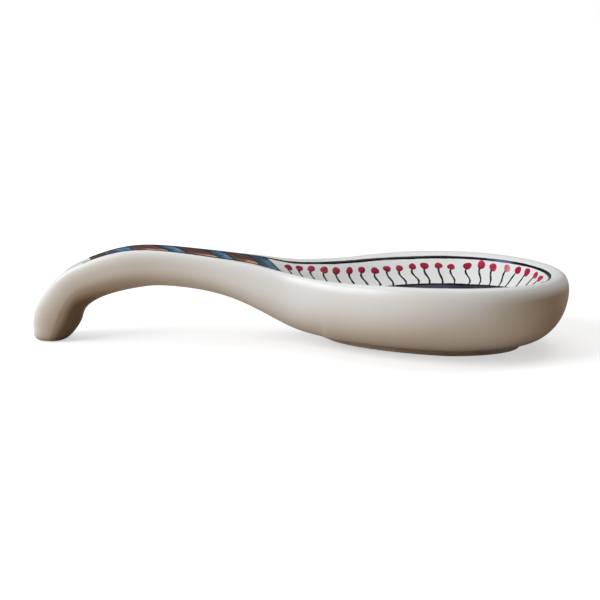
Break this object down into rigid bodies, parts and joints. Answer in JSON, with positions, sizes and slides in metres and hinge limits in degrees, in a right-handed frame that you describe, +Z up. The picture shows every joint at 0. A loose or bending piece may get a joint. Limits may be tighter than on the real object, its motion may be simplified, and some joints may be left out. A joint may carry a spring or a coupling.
{
  "type": "spoon rest",
  "caption": "Glazed ceramic spoon rest: egg-shaped bowl with a thick rolled lip on a low foot ring, and an arched handle that curves down to stand on its tip; hand-painted inside",
  "frame": {"origin": "centre of the bounding box in plan, on the table plane z = 0", "axes": "+X along the piece towards the bowl's nose, +Y across to its left side, +Z up"},
  "size_m": [0.254, 0.101, 0.0455],
  "materials": {
    "clay": "glossy cream glaze over stoneware",
    "bare_foot": "unglazed, wiped foot ring",
    "black_line": "black brush line under gloss glaze",
    "slate": "dark slate brushed colour under gloss glaze",
    "stem_ink": "dark green-black brush strokes under gloss glaze",
    "red_bud": "crimson dabs under gloss glaze",
    "blue": "brushed blue under gloss glaze",
    "brown": "brushed brown under gloss glaze"
  },
  "bodies": {
    "root": {"bowl": "clay", "handle": "clay", "foot_ring": "bare_foot", "rim_line": "black_line", "floor_panel": "slate", "floor_line": "black_line", "stems": "stem_ink", "buds": "red_bud", "blue_bands": "blue", "brown_bands": "brown", "band_lines": "black_line"}
  },
  "joints": []
}
